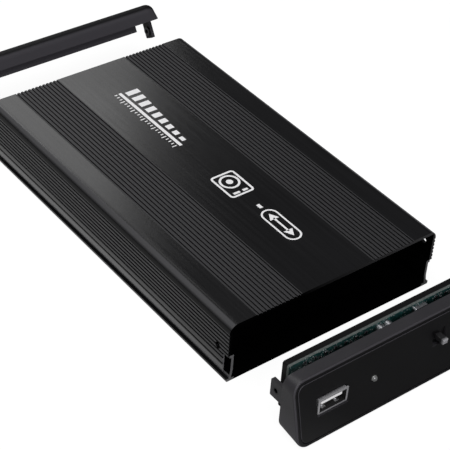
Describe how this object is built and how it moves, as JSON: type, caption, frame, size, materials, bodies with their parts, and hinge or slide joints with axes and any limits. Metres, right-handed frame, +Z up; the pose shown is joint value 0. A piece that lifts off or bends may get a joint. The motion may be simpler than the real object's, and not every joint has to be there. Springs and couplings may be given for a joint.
{
  "type": "external hard disk drive",
  "caption": "External 3.5 inch hard disk drive: ribbed black aluminium shell with its end caps drawn off, ports on the front cap and the bare drive inside.",
  "frame": {"origin": "centre of the shell's flat underside", "axes": "+Z up out of the shell's top, -Y towards the front cap with the ports, X across the shell"},
  "size_m": [0.115, 0.2878, 0.0373],
  "materials": {
    "shell_black": "black anodised extrusion with ribbed bands, satin",
    "cap_black": "moulded black plastic with a fine satin grain",
    "insert_metal": "nickel-plated threaded insert, dulled",
    "board_green": "green solder mask on fibreglass, pale cut edge",
    "plate_black": "black insulating sheet",
    "steel_bright": "zinc-plated steel",
    "chip_black": "black moulded epoxy",
    "can_metal": "bright drawn can",
    "small_parts_pale": "pale ceramic bodies with tinned ends",
    "usb_metal": "nickel-plated pressed metal",
    "tongue_white": "white moulded nylon",
    "contact_gold": "gold-plated contacts",
    "led_lens": "water-clear epoxy lens, unlit",
    "button_grey": "dark grey moulded cap",
    "jack_black": "black moulded nylon",
    "cast_metal": "die-cast aluminium, machined faces",
    "gasket_black": "black foamed gasket",
    "cover_steel": "pressed plain steel",
    "filter_white": "white woven filter",
    "platter_mirror": "polished disc",
    "coil_copper": "enamelled copper winding"
  },
  "bodies": {
    "shell": {"upper_shell": "shell_black", "lower_shell": "shell_black"},
    "front_cap": {"front_cap": "cap_black", "front_ear_inserts": "insert_metal", "bridge_board": "board_green", "board_backplate": "plate_black", "board_screws": "steel_bright", "bridge_chip": "chip_black", "board_capacitors": "can_metal", "board_crystal": "can_metal", "board_small_parts": "small_parts_pale", "usb_shell": "usb_metal", "usb_tongue": "tongue_white", "usb_contacts": "contact_gold", "activity_led": "led_lens", "power_switch_body": "chip_black", "dc_jack_body": "jack_black", "dc_jack_pin": "usb_metal", "sata_receptacle": "jack_black"},
    "power_button": {"power_button": "button_grey"},
    "rear_inserts": {"rear_ear_inserts": "insert_metal"},
    "rear_cap": {"rear_cap": "cap_black"},
    "drive": {"drive_base": "cast_metal", "drive_gasket": "gasket_black", "drive_cover": "cover_steel", "drive_cover_screws": "steel_bright", "spindle_motor": "steel_bright", "pivot_post": "steel_bright", "lower_magnet": "cover_steel", "upper_magnet": "cover_steel", "magnet_posts": "steel_bright", "head_ramp": "tongue_white", "air_filter": "filter_white", "drive_board": "board_green", "drive_board_chips": "chip_black", "drive_board_screws": "steel_bright", "drive_connector": "jack_black"},
    "spindle": {"spindle_hub": "cast_metal", "lower_platter": "platter_mirror", "platter_spacer": "cast_metal", "upper_platter": "platter_mirror", "platter_clamp": "steel_bright"},
    "actuator": {"actuator_arm": "cast_metal", "voice_coil": "coil_copper", "head_sliders": "chip_black"}
  },
  "joints": [
    {"name": "front_cap_slide", "type": "slide", "parent": "shell", "child": "front_cap", "axis": [0, 1, 0], "range_m": [0, 0.0343]},
    {"name": "power_button_press", "type": "slide", "parent": "front_cap", "child": "power_button", "axis": [0, 1, 0], "range_m": [0, 0.002], "stiffness_N_per_m": 400},
    {"name": "rear_cap_slide", "type": "slide", "parent": "shell", "child": "rear_inserts", "axis": [0, 1, 0], "range_m": [-0.03067, 0]},
    {"name": "rear_cap_tip", "type": "hinge", "parent": "rear_inserts", "child": "rear_cap", "pos_m": [0, 0.12095, 0.0226], "axis": [1, 0, 0], "range_deg": [-59, 0]},
    {"name": "drive_slide", "type": "slide", "parent": "shell", "child": "drive", "axis": [0, -1, 0], "range_m": [0, 0.012]},
    {"name": "spindle_spin", "type": "hinge", "parent": "drive", "child": "spindle", "pos_m": [0, 0.032, 0.0152], "axis": [0, 0, 1], "continuous": true},
    {"name": "actuator_swing", "type": "hinge", "parent": "drive", "child": "actuator", "pos_m": [0.018, -0.0225, 0.0152], "axis": [0, 0, 1], "range_deg": [-35.3, 0]}
  ],
  "couplings": [
    {"joint": "rear_cap_tip", "follows": "rear_cap_slide", "rad_per_m": 33.575}
  ]
}
